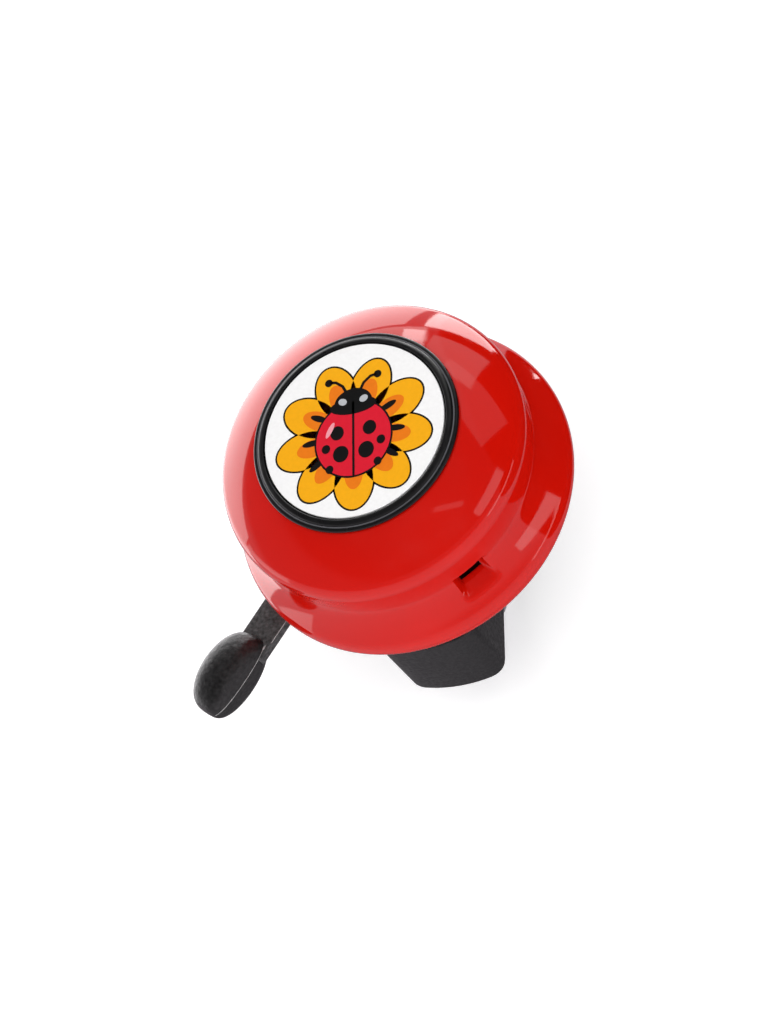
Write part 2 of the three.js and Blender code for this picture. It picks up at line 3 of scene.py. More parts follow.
import bmesh
import bpy
from mathutils import Matrix, Quaternion, Vector


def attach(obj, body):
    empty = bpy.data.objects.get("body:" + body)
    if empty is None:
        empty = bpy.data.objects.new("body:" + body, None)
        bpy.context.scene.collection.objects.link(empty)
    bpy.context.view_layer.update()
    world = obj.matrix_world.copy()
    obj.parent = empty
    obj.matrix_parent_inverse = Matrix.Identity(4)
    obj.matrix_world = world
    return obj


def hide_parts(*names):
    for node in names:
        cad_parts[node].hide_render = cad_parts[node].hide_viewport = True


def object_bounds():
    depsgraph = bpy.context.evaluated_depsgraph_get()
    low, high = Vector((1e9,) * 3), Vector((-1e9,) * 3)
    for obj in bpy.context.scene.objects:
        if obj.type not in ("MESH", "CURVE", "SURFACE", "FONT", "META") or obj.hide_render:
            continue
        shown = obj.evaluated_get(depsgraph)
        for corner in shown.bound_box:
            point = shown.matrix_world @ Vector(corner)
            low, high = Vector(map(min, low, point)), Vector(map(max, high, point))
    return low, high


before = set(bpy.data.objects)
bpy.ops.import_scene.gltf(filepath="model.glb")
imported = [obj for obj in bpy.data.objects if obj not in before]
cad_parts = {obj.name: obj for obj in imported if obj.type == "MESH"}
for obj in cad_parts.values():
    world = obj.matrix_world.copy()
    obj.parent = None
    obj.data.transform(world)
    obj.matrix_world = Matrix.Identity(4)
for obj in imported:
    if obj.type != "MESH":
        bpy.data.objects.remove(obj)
cad_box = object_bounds()

MM = 0.001

# ---------------------------------------------------------------- driving sizes, in millimetres and degrees

TOP_Z = 44.0                      # reference height; the gong's lip round the badge is 0.6 below
GONG_WALL = 0.8
GONG_HOLE_R = 2.3
GONG_TURNS = 288
RECESS_R = 15.6                   # the badge sits in a recess of this radius
RECESS_FLOOR_Z = 39.0
TIER_ARC_R = 3.05
UPPER_TIER = (24.53, 37.0)        # widest (radius, z) of each tier
LOWER_TIER = (27.5, 23.83)
WAIST_R = 23.75                   # the hollow between the tiers
WAIST_Z = 31.3
RIM = (25.2, 19.8)
DIMPLE = {"angle": -56.5, "z": 29.6, "half_width": 2.5, "half_height": 2.0, "depth": 2.2}
DIMPLE_FADE = {"from": 1.15, "sides": 0.35, "above": 0.35, "below": 0.8}     # in half sizes
SLIT = {"half_width": 1.9, "z": (28.4, 30.9)}

BASE_R = 22.4                     # the disc under the gong
BASE_Z = (15.7, 17.2)
COLLAR = {"half_x": 11.6, "half_y": 19.6, "bottom": 13.0}     # block between disc and saddle
SADDLE_END_R = 24.3               # the saddle's ends are arcs about the bell's axis
SADDLE_HALF_X = 7.9
SADDLE_CORNER_R = 2.2
SADDLE_BOTTOM_Z = 0.7
BAR_R = 11.1
BOSS_R = 3.2                      # round the lever's pin and the transfer gear's
TRANSFER_AXIS = (-8.7, 8.26)
NUT_POCKET = {"x": (-9.2, 3.8), "half_y": 3.8, "z": (6.2, 9.5)}

LEVER_PIVOT = Vector((-15.3, -3.52))
LEVER_DIR = Vector((-0.6, -0.8))
ACROSS = Vector((0.8, -0.6))
LEVER_THROW = 32
LEVER_Z = (17.5, 19.4)
STOP_PEG_R = 1.2
STOP_GAP = 0.3
ARM_WIDTH = 5.6
ARM_START = 10.0                  # where the fine arm takes over from the hub, from the pivot
ARM_END = 22.0
KNOB = {"start": 19.0, "end": 33.2, "near": 2.75, "far": 5.0, "rise": 3.8, "keel": 5.6}

SCREW_Y = 17.0
SCREW_HOLE_R = 2.0
SCREW = {"head_r": 3.3, "head_z": (-3.8, -1.6), "thread_r": 1.75, "core_r": 1.5, "pitch": 0.6, "end": 10.4}


# ---------------------------------------------------------------- mesh helpers

def add_object(name, mesh, material, sharp=35.0):
    """A new object in the scene, smooth but for edges sharper than an angle in degrees."""
    mesh.materials.clear()
    mesh.materials.append(material)
    mesh.shade_smooth()
    mesh.set_sharp_from_angle(angle=math.radians(sharp))
    piece = bpy.data.objects.new(name, mesh)
    bpy.context.scene.collection.objects.link(piece)
    return piece


def mesh_from(name, verts, faces):
    """A mesh from points in millimetres, with its faces pointing out."""
    mesh = bpy.data.meshes.new(name)
    mesh.from_pydata([Vector(v) * MM for v in verts], [], faces)
    bm = bmesh.new()
    bm.from_mesh(mesh)
    bmesh.ops.remove_doubles(bm, verts=bm.verts, dist=1e-7)
    bmesh.ops.recalc_face_normals(bm, faces=bm.faces)
    bm.to_mesh(mesh)
    bm.free()
    return mesh


def turned_mesh(name, profile, turns, centre=(0.0, 0.0), shape=None):
    """A closed profile of (radius, z) turned about a vertical axis. shape moves each point (x, y, z)."""
    rows = len(profile)
    verts = []
    for i in range(turns):
        angle = 2 * math.pi * i / turns
        for r, z in profile:
            point = (centre[0] + r * math.cos(angle), centre[1] + r * math.sin(angle), z)
            verts.append(shape(*point) if shape else point)
    faces = []
    for i in range(turns):
        a, b = i * rows, (i + 1) % turns * rows
        for j in range(rows):
            k = (j + 1) % rows
            faces.append((a + j, b + j, b + k, a + k))
    return mesh_from(name, verts, faces)


def prism_mesh(name, outline, bottom, top):
    """A plan outline of (x, y) points raised from bottom to top."""
    count = len(outline)
    verts = [(x, y, bottom) for x, y in outline] + [(x, y, top) for x, y in outline]
    faces = [tuple(range(count))[::-1], tuple(range(count, 2 * count))]
    faces += [(i, (i + 1) % count, count + (i + 1) % count, count + i) for i in range(count)]
    return mesh_from(name, verts, faces)


def temporary(mesh):
    """An object for a modifier to work on or with."""
    piece = bpy.data.objects.new(mesh.name, mesh)
    bpy.context.scene.collection.objects.link(piece)
    return piece


def applied(piece):
    """The object's mesh with its modifiers applied; the object itself goes."""
    graph = bpy.context.evaluated_depsgraph_get()
    mesh = bpy.data.meshes.new_from_object(piece.evaluated_get(graph))
    bpy.data.objects.remove(piece)
    return mesh


def bevelled(mesh, width, segments=3, angle=35.0):
    """The mesh with its sharp edges rounded, width in millimetres."""
    piece = temporary(mesh)
    modifier = piece.modifiers.new("round", "BEVEL")
    modifier.width = width * MM
    modifier.segments = segments
    modifier.limit_method = "ANGLE"
    modifier.angle_limit = math.radians(angle)
    return applied(piece)


def combined(mesh, others, operation):
    """The mesh joined with (UNION) or cut by (DIFFERENCE) the others."""
    for other in others:
        piece = temporary(mesh)
        tool = temporary(other)
        modifier = piece.modifiers.new("boolean", "BOOLEAN")
        modifier.operation = operation
        modifier.solver = "EXACT"
        modifier.object = tool
        mesh = applied(piece)
        bpy.data.objects.remove(tool)
    return mesh


def rod_mesh(radius, bottom, top, centre=(0.0, 0.0)):
    """An upright cylinder."""
    return turned_mesh("rod", [(0, bottom), (radius, bottom), (radius, top), (0, top)], 64, centre)


def box_mesh(x, y, z):
    """A box; x, y and z are each a (low, high) pair."""
    return prism_mesh("box", [(x[0], y[0]), (x[1], y[0]), (x[1], y[1]), (x[0], y[1])], *z)


def arc(centre, radius, start, end, steps):
    """Points on an arc, angles in degrees, both ends included."""
    angles = [math.radians(start + (end - start) * i / steps) for i in range(steps + 1)]
    return [(centre[0] + radius * math.cos(a), centre[1] + radius * math.sin(a)) for a in angles]


def bend(start, control, end, steps):
    """Points on a quadratic curve, without its first point."""
    points = []
    for i in range(1, steps + 1):
        t = i / steps
        points.append(tuple(
            (1 - t) ** 2 * a + 2 * t * (1 - t) * b + t * t * c
            for a, b, c in zip(start, control, end)))
    return points


def polar(radius, degrees):
    """A plan vector of a length and a direction, anticlockwise from +X."""
    return Vector((math.cos(math.radians(degrees)), math.sin(math.radians(degrees)))) * radius


# ---------------------------------------------------------------- materials

class Finish:
    """A Principled material with helpers for the noise that varies it."""

    def __init__(self, name, color, roughness, metallic=0.0):
        self.material = bpy.data.materials.new(name)
        self.material.use_nodes = True
        self.tree = self.material.node_tree
        self.shader = self.tree.nodes["Principled BSDF"]
        self.set("Base Color", (*color, 1))
        self.set("Roughness", roughness)
        self.set("Metallic", metallic)
        self.coords = self.tree.nodes.new("ShaderNodeTexCoord")
        self.color = color

    def set(self, socket, value):
        self.shader.inputs[socket].default_value = value

    def noise(self, scale, detail=3.0, stretch=(1, 1, 1)):
        """Noise fixed to the object; scale counts its cells per metre."""
        mapping = self.tree.nodes.new("ShaderNodeMapping")
        mapping.inputs["Scale"].default_value = stretch
        self.tree.links.new(self.coords.outputs["Object"], mapping.inputs["Vector"])
        noise = self.tree.nodes.new("ShaderNodeTexNoise")
        noise.inputs["Scale"].default_value = scale
        noise.inputs["Detail"].default_value = detail
        self.tree.links.new(mapping.outputs["Vector"], noise.inputs["Vector"])
        return noise.outputs["Fac"]

    def ramp(self, factor, low, high):
        """From low to high over the middle of the noise, where most of its values are."""
        ramp = self.tree.nodes.new("ShaderNodeValToRGB")
        for stop, position, color in zip(ramp.color_ramp.elements, (0.3, 0.7), (low, high)):
            stop.position = position
            stop.color = (*color, 1)
        self.tree.links.new(factor, ramp.inputs["Fac"])
        return ramp.outputs["Color"]

    def vary_color(self, scale, share, **noise):
        """Colour wanders by a share of itself."""
        low = [c * (1 - share) for c in self.color]
        high = [min(1.0, c * (1 + share)) for c in self.color]
        color = self.ramp(self.noise(scale, **noise), low, high)
        self.tree.links.new(color, self.shader.inputs["Base Color"])

    def vary_roughness(self, scale, low, high, **noise):
        value = self.ramp(self.noise(scale, **noise), [low] * 3, [high] * 3)
        self.tree.links.new(value, self.shader.inputs["Roughness"])

    def bumps(self, scale, strength, height_mm, **noise):
        """Fine relief; a second call lays its relief over the first."""
        bump = self.tree.nodes.new("ShaderNodeBump")
        bump.inputs["Strength"].default_value = strength
        bump.inputs["Distance"].default_value = height_mm * MM
        self.tree.links.new(self.noise(scale, **noise), bump.inputs["Height"])
        normal = self.shader.inputs["Normal"]
        if normal.links:
            self.tree.links.new(normal.links[0].from_socket, bump.inputs["Normal"])
        self.tree.links.new(bump.outputs["Normal"], normal)


def red_enamel():
    finish = Finish("red_enamel", (0.6, 0.006, 0.002), 0.06)
    finish.vary_color(60, 0.04, detail=2)
    finish.vary_roughness(220, 0.04, 0.08)
    finish.bumps(700, 0.04, 0.02, detail=1)
    return finish.material


def textured_plastic():
    """The base's moulding."""
    finish = Finish("textured_plastic", (0.009, 0.009, 0.0093), 0.45)
    finish.vary_color(2600, 0.5, detail=2)
    finish.vary_roughness(1800, 0.36, 0.56)
    finish.bumps(3800, 0.5, 0.06, detail=3)
    finish.bumps(400, 0.1, 0.05)
    return finish.material


def grained_plastic(name, level):
    """The lever's moulding, with a coarser grain than the base."""
    finish = Finish(name, (level, level, level), 0.4)
    finish.vary_color(1700, 0.7, detail=3)
    finish.vary_roughness(1400, 0.3, 0.5)
    finish.bumps(1500, 0.75, 0.12, detail=4)
    return finish.material


def satin_plastic():
    """The badge's bezel."""
    finish = Finish("satin_plastic", (0.005, 0.005, 0.0052), 0.27)
    finish.vary_color(300, 0.2)
    finish.vary_roughness(500, 0.25, 0.4)
    finish.bumps(2500, 0.1, 0.02)
    return finish.material


def printed(name, color):
    """Ink on the badge."""
    finish = Finish(name, color, 0.35)
    finish.set("Specular IOR Level", 0.3)
    finish.vary_color(1500, 0.02, detail=1)
    finish.bumps(600, 0.03, 0.01)
    return finish.material


def zinc_plating():
    finish = Finish("zinc_plating", (0.62, 0.63, 0.65), 0.34, 1.0)
    finish.vary_color(500, 0.12)
    finish.vary_roughness(900, 0.26, 0.46, stretch=(1, 1, 6))
    finish.bumps(1500, 0.12, 0.02, stretch=(1, 1, 8))
    return finish.material


def spring_steel():
    finish = Finish("spring_steel", (0.36, 0.36, 0.38), 0.32, 1.0)
    finish.vary_color(700, 0.15)
    finish.vary_roughness(1200, 0.25, 0.4)
    return finish.material


def natural_nylon():
    finish = Finish("natural_nylon", (0.78, 0.75, 0.66), 0.45)
    finish.set("Subsurface Weight", 0.2)
    finish.set("Subsurface Radius", (0.002, 0.0018, 0.0014))
    finish.vary_color(250, 0.04)
    finish.bumps(2000, 0.15, 0.02)
    return finish.material


def black_rubber():
    finish = Finish("black_rubber", (0.02, 0.02, 0.02), 0.8)
    finish.vary_color(900, 0.3)
    finish.bumps(1800, 0.3, 0.04)
    return finish.material


def pale_floor():
    """It glows a little, so that it stays nearly white under the soft lights."""
    finish = Finish("pale_floor", (0.9, 0.9, 0.9), 0.9)
    finish.set("Specular IOR Level", 0.0)
    finish.set("Emission Color", (1, 1, 1, 1))
    finish.set("Emission Strength", 0.4)
    return finish.material


RED = red_enamel()
PLASTIC = textured_plastic()
KNOB_GRAIN = grained_plastic("knob_grain", 0.011)
# the arm's copy is painted lighter than the knob's, as painted light on its top; both are the same black
# moulding
ARM_GRAIN_PAINTED_LIGHT = grained_plastic("arm_grain_painted_light", 0.05)
SATIN = satin_plastic()
ZINC = zinc_plating()
SPRING = spring_steel()
NYLON = natural_nylon()
RUBBER = black_rubber()


def stands_for(piece, body, slot, *nodes):
    """The piece rides on a body and hides the CAD nodes that it stands for; slot is not used."""
    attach(piece, body)
    if nodes:
        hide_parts(*nodes)
    return piece


# ---------------------------------------------------------------- gong

def gong_outer_face():
    """Outer face from the centre hole to the rim, as (radius, z)."""
    upper = (UPPER_TIER[0] - TIER_ARC_R, UPPER_TIER[1])
    lower = (LOWER_TIER[0] - TIER_ARC_R, LOWER_TIER[1])
    upper_arc = arc(upper, TIER_ARC_R, 52, -11, 20)
    lower_arc = arc(lower, TIER_ARC_R, 38, -37, 24)
    lip = (RECESS_R + 0.7, TOP_Z - 0.6)
    floor_z = RECESS_FLOOR_Z
    points = [(GONG_HOLE_R, floor_z), (RECESS_R - 0.9, floor_z)]
    points += bend((RECESS_R - 0.9, floor_z), (RECESS_R, floor_z), (RECESS_R, floor_z + 0.9), 6)
    points.append((RECESS_R, TOP_Z - 1))
    points += bend((RECESS_R, TOP_Z - 1), (RECESS_R, TOP_Z - 0.55), lip, 6)
    points += bend(lip, (20.1, TOP_Z - 2), upper_arc[0], 20)
    points += upper_arc[1:]
    points += bend(upper_arc[-1], (WAIST_R, WAIST_Z + 1.4), (WAIST_R, WAIST_Z), 16)
    points += bend((WAIST_R, WAIST_Z), (WAIST_R, WAIST_Z - 1.6), lower_arc[0], 24)
    points += lower_arc[1:]
    end = lower_arc[-1]
    points += bend(end, ((end[0] + RIM[0]) / 2, (end[1] + RIM[1]) / 2), RIM, 4)
    return points


def offset_inwards(points, distance):
    """The inner face: each point moved square to the line through its neighbours."""
    moved = []
    for i, (r, z) in enumerate(points):
        before, after = points[max(i - 1, 0)], points[min(i + 1, len(points) - 1)]
        along = (Vector(after) - Vector(before)).normalized()
        moved.append((r + along.y * distance, z - along.x * distance))
    return moved


def smooth_step(value):
    """0 below 0, 1 above 1 and an even S between."""
    value = min(1.0, max(0.0, value))
    return value * value * (3 - 2 * value)


def pressed_in(x, y, z):
    """A point of the gong's wall, moved inwards where the two striker bumps are pressed in."""
    radius = math.hypot(x, y)
    if radius < RECESS_R + 1:
        return x, y, z
    turn = math.atan2(y, x) - math.radians(DIMPLE["angle"])
    nearer = turn - math.pi * round(turn / math.pi)
    across = abs(nearer * WAIST_R) / DIMPLE["half_width"]
    up = z - DIMPLE["z"]
    height = abs(up) / DIMPLE["half_height"]
    fade = DIMPLE_FADE["above"] if up > 0 else DIMPLE_FADE["below"]
    edge = DIMPLE_FADE["from"]
    share = smooth_step((edge - across) / DIMPLE_FADE["sides"]) * smooth_step((edge - height) / fade)
    scale = 1 - DIMPLE["depth"] * share / radius
    return x * scale, y * scale, z


def make_gong():
    """The two-tier shell, with the bumps that the strikers hit and a slit through each."""
    rim_round = 0.18
    outer = gong_outer_face()
    inner = offset_inwards(outer, GONG_WALL)
    inner[0] = (GONG_HOLE_R, inner[0][1])
    rim_mid = ((outer[-1][0] + inner[-1][0]) / 2, (outer[-1][1] + inner[-1][1]) / 2 - rim_round)
    profile = outer + [rim_mid] + inner[::-1]
    mesh = turned_mesh("gong_shell", profile, GONG_TURNS, shape=pressed_in)
    both_slits = box_mesh((-WAIST_R, WAIST_R), (-SLIT["half_width"], SLIT["half_width"]), SLIT["z"])
    both_slits.transform(Matrix.Rotation(math.radians(DIMPLE["angle"]), 4, "Z"))
    mesh = combined(mesh, [both_slits], "DIFFERENCE")
    stands_for(add_object("gong_shell", mesh, RED, sharp=50), "root", "red_paint", "gong")


# ---------------------------------------------------------------- badge

BADGE_TOP_Z = 44.6                # upper face of the white disc; the print lies on it
INK = 0.015                       # thickness of one layer of print
PRINT_SCALE = 1.13
BADGE_TURNS = 192


def make_bezel():
    """The black ring and its stem, and a lighter grey line laid in the ring's groove."""
    profile = [(0, 43.3), (14.6, 43.3), (14.6, 40.6), (15.3, 40.6), (15.3, 43.7), (16.3, 43.7)]
    profile += bend((16.3, 43.7), (16.52, 43.7), (16.52, 43.9), 3)
    profile += bend((16.52, 43.9), (16.52, 44.2), (16.25, 44.27), 5)
    profile += [(16.02, 44.29), (15.95, 44.22), (15.72, 44.24), (15.68, 44.34)]
    profile += bend((15.68, 44.34), (15.6, 44.55), (15.35, 44.65), 4)
    profile += bend((15.35, 44.65), (15.1, 44.74), (14.9, 44.73), 4)
    profile += bend((14.9, 44.73), (14.72, 44.72), (14.7, 44.55), 4)
    profile += [(14.7, 43.9), (0, 43.9)]
    mesh = turned_mesh("badge_bezel", profile, BADGE_TURNS)
    stands_for(add_object("badge_bezel", mesh, SATIN, sharp=40), "root", "gloss_black", "badge_cap")
    groove_profile = [(15.74, 44.2), (15.94, 44.2), (15.94, 44.235), (15.74, 44.25)]
    groove = turned_mesh("bezel_groove", groove_profile, BADGE_TURNS)
    # a lighter grey line laid in the groove
    line = printed("groove_grey_line", (0.12, 0.12, 0.13))
    stands_for(add_object("bezel_groove", groove, line), "root", "gloss_black")


def ellipse(centre, rx, ry, turn=0.0, grow=0.0):
    """An oval outline of (x, y), turned anticlockwise by degrees."""
    steps = 48
    angle = math.radians(turn)
    points = []
    for i in range(steps):
        t = 2 * math.pi * i / steps
        x, y = (rx + grow) * math.cos(t), (ry + grow) * math.sin(t)
        points.append((centre[0] + x * math.cos(angle) - y * math.sin(angle),
                       centre[1] + x * math.sin(angle) + y * math.cos(angle)))
    return points


def stroke(points, width):
    """The outline of a line of even width along points."""
    left, right = [], []
    for i, point in enumerate(points):
        before, after = points[max(i - 1, 0)], points[min(i + 1, len(points) - 1)]
        along = (Vector(after) - Vector(before)).normalized()
        side = Vector((-along.y, along.x)) * width / 2
        left.append(tuple(Vector(point) + side))
        right.append(tuple(Vector(point) - side))
    return left + right[::-1]


def print_layer(name, outlines, level, material):
    """Flat printed shapes, one layer of ink above the last."""
    bottom = BADGE_TOP_Z + 0.001  # clear of the disc's own face
    top = BADGE_TOP_Z + INK * level
    bm = bmesh.new()
    for outline in outlines:
        grown = [(x * PRINT_SCALE, y * PRINT_SCALE) for x, y in outline]
        bm.from_mesh(prism_mesh(name, grown, bottom, top))
    mesh = bpy.data.meshes.new(name)
    bm.to_mesh(mesh)
    bm.free()
    stands_for(add_object(name, mesh, material, sharp=30), "root", "printed_disc")


def make_badge_disc():
    radius, bottom, chamfer = 14.4, 44.2, 0.05
    profile = [(0, bottom), (radius, bottom), (radius, BADGE_TOP_Z - chamfer)]
    profile += [(14.35, BADGE_TOP_Z), (0, BADGE_TOP_Z)]
    mesh = turned_mesh("badge_face", profile, BADGE_TURNS)
    white = printed("print_white", (0.97, 0.97, 0.96))
    stands_for(add_object("badge_face", mesh, white), "root", "printed_disc", "badge_disc")


def make_badge_print():
    """A ladybird on a flower."""
    outline = 0.26                # how far the black shows past a coloured shape
    petals = 9
    flower = (0.0, -0.6)
    petal_at = [polar(7.0, 90 + 360 * (i + 0.5) / petals) for i in range(petals)]

    def petal(offset, rx, ry, share=1.0, grow=0.0):
        turn = math.degrees(math.atan2(offset.y, offset.x))
        return ellipse((flower[0] + offset.x * share, flower[1] + offset.y * share), rx, ry, turn, grow)

    body, body_size = (0.0, -1.3), (5.3, 5.5)
    head, head_size = (0.0, 4.0), (2.7, 2.2)
    sides = (-1, 1)
    spots = [(2.3, 1.2, 0.95), (1.8, -2.0, 1.1), (3.4, -4.0, 0.55), (3.9, -0.9, 0.6)]
    feeler = [(0.9, 5.6), (1.5, 6.8), (2.5, 7.6), (3.3, 7.7)]
    feelers = [stroke([(side * x, y) for x, y in feeler], 0.4) for side in sides]
    tips = [ellipse((side * 3.5, 7.7), 0.55, 0.55) for side in sides]
    feet = [(4.9, 2.6, 25), (6.0, -0.9, -5), (5.2, -4.3, -35)]
    legs = [ellipse((side * x, y), 1.3, 0.45, side * turn) for x, y, turn in feet for side in sides]

    black = printed("print_black", (0.004, 0.004, 0.004))
    orange = printed("print_orange", (0.95, 0.43, 0.005))
    amber = printed("print_amber", (0.85, 0.2, 0.006))
    red = printed("print_red", (0.72, 0.01, 0.03))
    grey = printed("print_grey", (0.5, 0.52, 0.54))
    shine = printed("print_shine", (0.9, 0.35, 0.4))
    print_layer("print_petal_outline", [petal(p, 4.1, 2.75, grow=outline) for p in petal_at], 1, black)
    print_layer("print_petals", [petal(p, 4.1, 2.75) for p in petal_at], 2, orange)
    print_layer("print_petal_shade", [petal(p, 2.6, 1.35, share=0.8) for p in petal_at], 3, amber)
    print_layer("print_legs", legs + feelers + tips, 4, black)
    dark_body = [ellipse(body, *body_size, grow=outline), ellipse(head, *head_size)]
    print_layer("print_body_outline", dark_body, 5, black)
    print_layer("print_body", [ellipse(body, *body_size)], 6, red)
    wing_line = stroke([(0.0, 4.2), (0.0, -6.8)], 0.32)
    collar = ellipse((0.0, 3.6), 3.3, 1.25)
    dots = [ellipse((body[0] + side * x, body[1] + y), r, r * 1.1) for x, y, r in spots for side in sides]
    print_layer("print_spots", [wing_line, collar, *dots], 7, black)
    cheeks = [ellipse((side * 1.5, 4.4), 0.62, 0.5, side * 25) for side in sides]
    print_layer("print_cheeks", cheeks, 8, grey)
    print_layer("print_shine", [ellipse((-3.3, 0.5), 0.35, 1.2, -28)], 8, shine)


# ---------------------------------------------------------------- lever

def signed_power(value, power):
    """A power that keeps the sign; below 1 it makes a round section squarer."""
    return math.copysign(abs(value) ** power, value)


def lever_point(out, side, z):
    """A point at rest, by its distance out from the pivot and across the lever."""
    plan = LEVER_PIVOT + LEVER_DIR * out + ACROSS * side
    return plan.x, plan.y, z


def knob_surface(out, angle):
    """A point of the knob: out runs from -1 at the arm to 1 at the tip, angle goes round it.
    Its near side is shallow and blunt, its far side deeper and more pointed."""
    along = (KNOB["start"] + KNOB["end"]) / 2
    half_length = (KNOB["end"] - KNOB["start"]) / 2
    girth = math.sqrt(max(0.0, 1 - out * out))
    side, up = math.cos(angle), math.sin(angle)
    reach = KNOB["near"] * girth ** 0.4 if side > 0 else KNOB["far"] * girth ** 0.75
    height = KNOB["rise"] * girth ** 0.9 if up > 0 else KNOB["keel"] * girth ** 0.8
    return lever_point(
        along + half_length * out,
        signed_power(side, 0.8) * reach,
        LEVER_Z[1] + signed_power(up, 0.9 if up > 0 else 0.7) * height)


def make_knob():
    rings, around = 72, 96
    verts, faces = [], []
    for i in range(rings + 1):
        out = -math.cos(math.pi * i / rings)
        verts += [knob_surface(out, 2 * math.pi * j / around) for j in range(around)]
    for i in range(rings):
        for j in range(around):
            k = (j + 1) % around
            a, b = i * around, (i + 1) * around
            faces.append((a + j, a + k, b + k, b + j))
    mesh = mesh_from("lever_knob", verts, faces)
    stands_for(add_object("lever_knob", mesh, KNOB_GRAIN, sharp=60), "lever", "black_plastic")


def make_parting_ridge():
    """The thin line of flash where the mould's halves meet, along the arm and round the knob; its light
    grey colour is a painted highlight along that edge.
    """
    half, root = 0.07, -0.3       # how far it stands proud, and where it starts inside the piece
    steps = 60
    arm_stations = (ARM_START + 1, 13, 15, 17, 18.5)
    path = [lever_point(out, ARM_WIDTH / 2 - 0.05, LEVER_Z[1] - 0.12) for out in arm_stations]
    turns = [math.pi * (0.2 + 0.7 * i / steps) for i in range(steps + 1)]
    path += [knob_surface(-math.cos(turn), 0.0) for turn in turns]
    verts, faces = [], []
    for i, (x, y, z) in enumerate(path):
        before, after = path[max(i - 1, 0)], path[min(i + 1, len(path) - 1)]
        along = Vector((after[0] - before[0], after[1] - before[1])).normalized()
        side = Vector((-along.y, along.x))
        if side.dot(ACROSS) < 0:
            side = -side
        for reach, up in ((root, half), (half, half * 0.3), (half, -half * 0.3), (root, -half)):
            verts.append((x + side.x * reach, y + side.y * reach, z + up))
    last = len(path) - 1
    for i in range(last):
        for j in range(4):
            k = (j + 1) % 4
            faces.append((4 * i + j, 4 * i + k, 4 * i + 4 + k, 4 * i + 4 + j))
    faces += [(3, 2, 1, 0), tuple(4 * last + j for j in range(4))]
    mesh = mesh_from("parting_ridge_painted_highlight", verts, faces)
    # light grey on the black lever: a painted highlight along the ridge, not the plastic's own colour
    line = Finish("parting_ridge_painted_highlight", (0.4, 0.4, 0.4), 0.35)
    line.vary_color(900, 0.5)
    stands_for(add_object("parting_ridge_painted_highlight", mesh, line.material), "lever", "black_plastic")


def make_arm():
    half = ARM_WIDTH / 2
    corners = [lever_point(out, side, 0)[:2] for out, side in
               ((ARM_START, -half), (ARM_END, -half), (ARM_END, half), (ARM_START, half))]
    mesh = bevelled(prism_mesh("lever_arm", corners, *LEVER_Z), 0.22, 3)
    stands_for(add_object("lever_arm", mesh, ARM_GRAIN_PAINTED_LIGHT, sharp=50), "lever", "black_plastic")


def make_lever_hub():
    """The hub, boss and toothed sector, cut from the CAD lever where the fine arm starts."""
    bm = bmesh.new()
    bm.from_mesh(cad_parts["lever"].data)
    cut_at = Vector(lever_point(ARM_START, 0, LEVER_Z[0])) * MM
    geometry = bm.verts[:] + bm.edges[:] + bm.faces[:]
    outwards = LEVER_DIR.to_3d()
    cut = bmesh.ops.bisect_plane(bm, geom=geometry, plane_co=cut_at, plane_no=outwards, clear_outer=True)
    edges = [e for e in cut["geom_cut"] if isinstance(e, bmesh.types.BMEdge)]
    bmesh.ops.holes_fill(bm, edges=edges)
    mesh = bpy.data.meshes.new("lever_hub")
    bm.to_mesh(mesh)
    bm.free()
    stands_for(add_object("lever_hub", mesh, PLASTIC), "lever", "black_plastic", "lever")


# ---------------------------------------------------------------- base, saddle and clamp

def saddle_outline():
    """Straight sides and arc ends, with rounded corners."""
    corner_y = math.sqrt(SADDLE_END_R ** 2 - SADDLE_HALF_X ** 2)
    arc_x = SADDLE_HALF_X - SADDLE_CORNER_R
    end = math.degrees(math.acos(arc_x / SADDLE_END_R))
    far_end = arc((0, 0), SADDLE_END_R, end, 180 - end, 24)
    half = [(SADDLE_HALF_X, 0.0), (SADDLE_HALF_X, corner_y - SADDLE_CORNER_R)]
    half += bend(half[-1], (SADDLE_HALF_X, corner_y), far_end[0], 6)
    half += far_end[1:]
    half += bend(far_end[-1], (-SADDLE_HALF_X, corner_y), (-SADDLE_HALF_X, corner_y - SADDLE_CORNER_R), 6)
    return half + [(-x, -y) for x, y in half]


